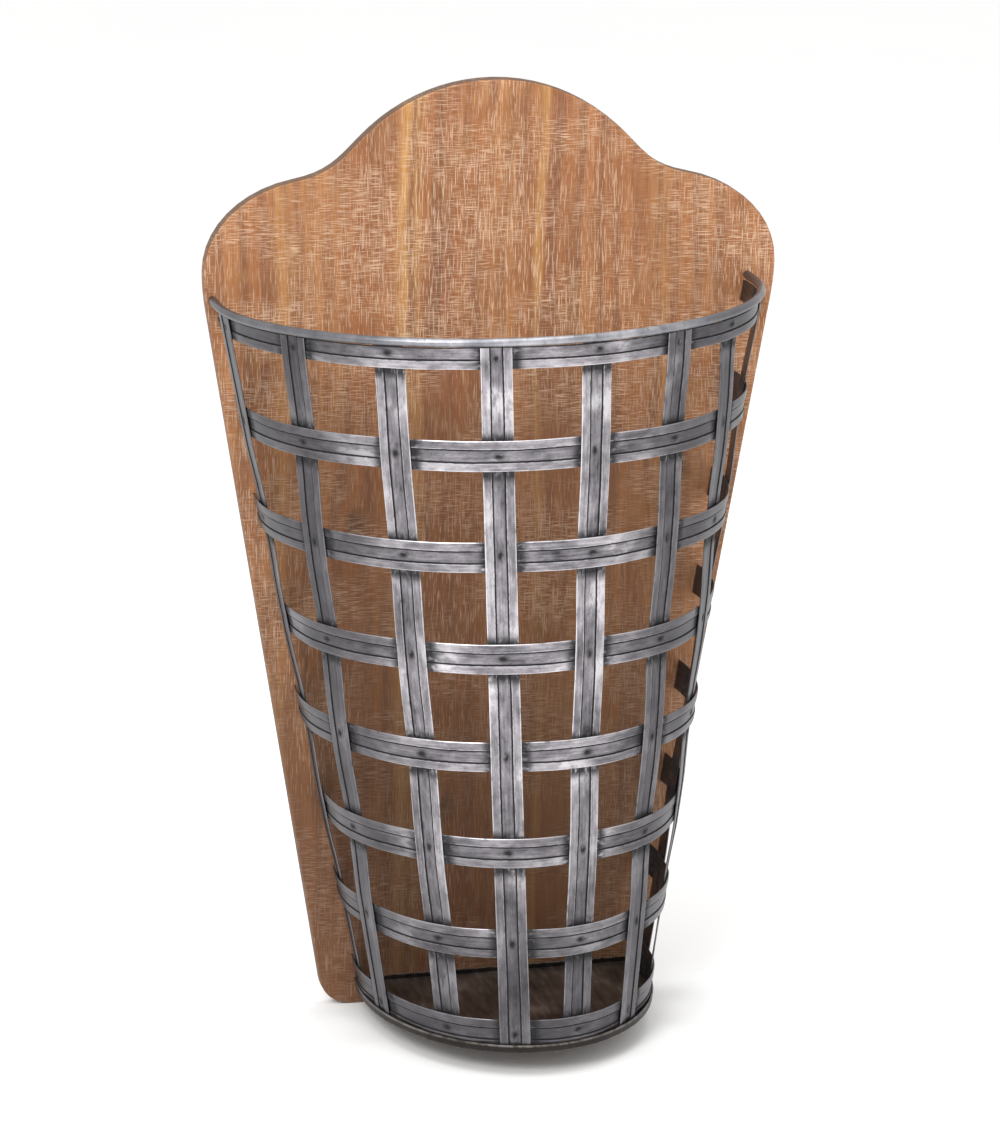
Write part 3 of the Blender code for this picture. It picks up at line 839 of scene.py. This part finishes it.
def knots(s, x, z):
    """How far a place is inside a knot, and how far the grain bends aside round it."""
    mask, pull = 0.0, 0.0
    for at_x, at_z, radius in KNOTS:
        off_x = s.math("SUBTRACT", x, at_x)
        off_z = s.times(s.math("SUBTRACT", z, at_z), 0.62)
        distance = s.math("SQRT", s.plus(s.times(off_x, off_x), s.times(off_z, off_z)))
        mask = s.math("MAXIMUM", mask, s.rise(distance, 2.2 * radius, 0.5 * radius))
        pull = s.plus(pull, s.times(s.rise(distance, 7 * radius, radius), off_x, 0.5))
    return mask, pull


def split_line(s, place, x, z, pores):
    """A fine split that wanders down from the crown."""
    wave = s.noise(place, (0.0, 0.0, 16.0), (1.0, 1.0, 1.0), detail=3.0)
    middle = s.plus(SPLIT_X, s.wander(wave, 0.012))
    line = s.rise(s.math("ABSOLUTE", s.math("SUBTRACT", x, middle)), 0.0016, 0.0002)
    return s.times(line, s.rise(z, SPLIT_LOW_Z, SPLIT_LOW_Z + 0.05), s.rise(pores, 0.30, 0.5))


def whitewash(s, place):
    """Fine upright and level scratches that kept the wash, in patches."""
    upright = s.rise(s.noise(place, (1800.0, 1800.0, 90.0), (1.0, 2.0, 9.0), detail=1.0), 0.56, 0.64)
    level = s.rise(s.noise(place, (90.0, 90.0, 1800.0), (6.0, 3.0, 1.0), detail=1.0), 0.52, 0.60)
    upright_patch = s.rise(s.noise(place, (15.0, 15.0, 7.0), (4.0, 4.0, 0.0), detail=3.0), 0.26, 0.64)
    level_patch = s.rise(s.noise(place, (17.0, 17.0, 24.0), (0.0, 9.0, 5.0), detail=3.0), 0.36, 0.62)
    return s.math("MAXIMUM", s.times(upright, upright_patch), s.times(level, level_patch))


def painted_shade_on_board(s, x, z):
    """Painted shade on the board: darker behind the basket, most of all low down, and darker below the rim
    and towards the foot all across.
    """
    share = s.math("DIVIDE", s.math("SUBTRACT", z, BASE_Z), RIM_Z - BASE_Z)
    half_width = s.math("MULTIPLY_ADD", share, RIM_SECTION[0] - BASE_SECTION[0], BASE_SECTION[0])
    inside = s.rise(s.math("DIVIDE", s.math("ABSOLUTE", x), half_width), 1.10, 0.90)
    below = s.rise(z, RIM_Z, RIM_Z - 0.12)
    deep = s.rise(z, 0.05, -0.22)
    behind = s.times(inside, below, s.math("MULTIPLY_ADD", deep, 0.34, 0.36))
    return s.math("MAXIMUM", behind, s.math("MULTIPLY_ADD", deep, 0.42, s.times(below, 0.22)))


def edge_darkening(s):
    """The board's sawn edges are darker, darkest where they face up."""
    _, facing_out, facing_up = s.parts(s.add("ShaderNodeNewGeometry", {}, output="Normal"))
    on_edge = s.rise(s.math("ABSOLUTE", facing_out), 0.95, 0.55)
    return s.times(on_edge, s.plus(0.30, s.times(s.rise(facing_up, -0.1, 0.5), 0.48)))


def wood_material():
    """Brown board with upright grain, rubbed with whitewash that stayed in crossing scratches."""
    s = Shader("whitewashed_board")
    place = s.object_place()
    x, _, z = s.parts(place)
    swirl = s.noise(place, (6.0, 6.0, 3.0), (2.0, 8.0, 4.0), detail=2.0)
    bent_x = s.plus(x, s.wander(swirl, 0.022))
    knot_mask, knot_pull = knots(s, x, z)
    grain_at = s.add("ShaderNodeCombineXYZ", {0: s.math("SUBTRACT", bent_x, knot_pull), 1: 0.0, 2: z})
    grain = s.noise(grain_at, (120.0, 1.0, 4.0), detail=7.0, roughness=0.62)
    pores = s.noise(grain_at, (900.0, 1.0, 28.0), (3.0, 1.0, 5.0), detail=3.0)
    board_tone = s.noise(grain_at, (19.0, 1.0, 0.9), (7.0, 0.0, 2.0), detail=2.5)

    color = s.ramp(board_tone, WOOD_TONES)
    for at_x, reach, strength in HONEY_STREAKS:
        streak = s.near(bent_x, at_x, 0.3 * reach, reach)
        color = s.mix(s.times(streak, strength, s.rise(grain, 0.2, 0.6)), color, HONEY)
    color = s.mix(s.times(s.rise(grain, 0.60, 0.34), 0.72), color, DARK_GRAIN)
    color = s.mix(s.times(s.rise(pores, 0.55, 0.38), 0.35), color, PORE)
    split = split_line(s, place, x, z, pores)
    color = s.mix(s.times(split, 0.75), color, SPLIT)
    color = s.mix(s.times(knot_mask, 0.85), color, KNOT)

    haze = s.noise(place, (60.0, 60.0, 60.0), (8.0, 0.0, 3.0), detail=5.0, roughness=0.65)
    color = s.mix(s.times(s.rise(haze, 0.45, 0.75), 0.22), color, PALE_HAZE)
    wash = whitewash(s, place)
    color = s.mix(s.times(wash, 0.60), color, WHITEWASH)
    # Painted shade: darker behind the basket and towards the board's foot
    color = s.mix(painted_shade_on_board(s, x, z), color, PAINTED_SHADE_BEHIND_BASKET)
    color = s.mix(edge_darkening(s), color, DARK_EDGE)

    relief = s.plus(s.times(grain, 0.6), s.times(pores, 0.4), s.times(wash, 0.5))
    height = s.math("SUBTRACT", relief, s.times(split, 1.5))
    roughness = s.plus(0.62, s.times(haze, 0.25))
    return s.surface(Base_Color=color, Roughness=roughness, Normal=s.bump(height, 0.5, 0.0006))


def floor_material():
    s = Shader("pale_floor")
    cloud = s.noise(s.object_place(), (3.0, 3.0, 3.0), detail=3.0)
    color = s.mix(cloud, (0.90, 0.90, 0.90), (0.93, 0.93, 0.92))
    return s.surface(Base_Color=color, Roughness=0.9)


ZINC = zinc_material(
    "aged_zinc_strip", (0.050, 0.048, 0.053), (0.255, 0.240, 0.260), (0.57, 0.54, 0.57), (0.84, 0.82, 0.85)
)
RIM_METAL = zinc_material(
    "rolled_zinc_rim", (0.09, 0.09, 0.10), (0.30, 0.30, 0.325), (0.60, 0.59, 0.62), (0.86, 0.86, 0.88)
)
BASE_METAL = sheet_material()
WOOD = wood_material()
PLATED = steel_material("plated_hanger_steel", (0.62, 0.60, 0.54), 0.28)
SCREW_STEEL = steel_material("screw_steel", (0.50, 0.50, 0.51), 0.26)


def paint_node(node, material):
    """Gives a CAD node its material, where the node itself is what shows."""
    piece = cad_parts[node]
    piece.data.materials.clear()
    piece.data.materials.append(material)


# Camera, lights and floor ---------------------------------------------------------------------------------

CAMERA_PLACE = Vector((-0.68422, -3.112, 0.81152))
CAMERA_TURN = 0.21974
CAMERA_DIP = radians(14.616)
CAMERA_ROLL = 0.015320
CAMERA_LENS = 167.4
SENSOR_WIDTH = 36.0
CLIP_END = 60
FLOOR_SIZE = 30
WORLD_STRENGTH = 1.05


def make_camera():
    data = bpy.data.cameras.new("camera")
    data.lens = CAMERA_LENS
    data.sensor_width = SENSOR_WIDTH
    data.sensor_fit = "HORIZONTAL"
    data.clip_end = CLIP_END
    camera = bpy.data.objects.new("camera", data)
    bpy.context.scene.collection.objects.link(camera)
    level = Vector((sin(CAMERA_TURN), cos(CAMERA_TURN), 0))
    forward = level * cos(CAMERA_DIP) - Vector((0, 0, sin(CAMERA_DIP)))
    right = Vector((cos(CAMERA_TURN), -sin(CAMERA_TURN), 0))
    up = right.cross(forward)
    rolled_right = right * cos(CAMERA_ROLL) + up * sin(CAMERA_ROLL)
    rolled_up = up * cos(CAMERA_ROLL) - right * sin(CAMERA_ROLL)
    turn = Matrix((rolled_right, rolled_up, -forward)).transposed()
    camera.matrix_world = Matrix.Translation(CAMERA_PLACE) @ turn.to_4x4()
    bpy.context.scene.camera = camera


def area_light(name, place, target, size, power):
    """A square light at the place, turned to the target."""
    data = bpy.data.lights.new(name, "AREA")
    data.shape = "RECTANGLE"
    data.size = size
    data.size_y = size
    data.energy = power
    light = bpy.data.objects.new(name, data)
    bpy.context.scene.collection.objects.link(light)
    light.location = place
    light.rotation_mode = "QUATERNION"
    light.rotation_quaternion = (Vector(target) - Vector(place)).to_track_quat("-Z", "Y")


def make_studio():
    bm = bmesh.new()
    bmesh.ops.create_grid(bm, x_segments=2, y_segments=2, size=FLOOR_SIZE)
    mesh = bpy.data.meshes.new("floor")
    bm.to_mesh(mesh)
    bm.free()
    floor = bpy.data.objects.new("floor", mesh)
    floor.location = (0, 0, BOARD_LOW.z)
    mesh.materials.append(floor_material())
    bpy.context.scene.collection.objects.link(floor)

    world = bpy.data.worlds.new("studio")
    world.use_nodes = True
    world.node_tree.nodes["Background"].inputs["Color"].default_value = (1.0, 1.0, 1.0, 1.0)
    world.node_tree.nodes["Background"].inputs["Strength"].default_value = WORLD_STRENGTH
    bpy.context.scene.world = world
    area_light("key", place=(-1.4, -2.2, 1.8), target=(0, 0, 0.05), size=1.0, power=42)
    area_light("top", place=(-0.2, -0.7, 2.6), target=(0, -0.05, 0), size=1.6, power=24)
    bpy.context.scene.view_settings.view_transform = "Standard"


for strap in range(1, STRAPS + 1):
    make_strap(strap)
for band in range(1, BANDS + 1):
    make_band(band)
make_rim()
make_tray()
make_tab("left", -TAB_X)
make_tab("right", TAB_X)
paint_node("back_board", WOOD)
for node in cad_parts:
    if node.startswith("hanger_plate"):
        paint_node(node, PLATED)
    elif "screw" in node:
        paint_node(node, SCREW_STEEL)
make_camera()
make_studio()
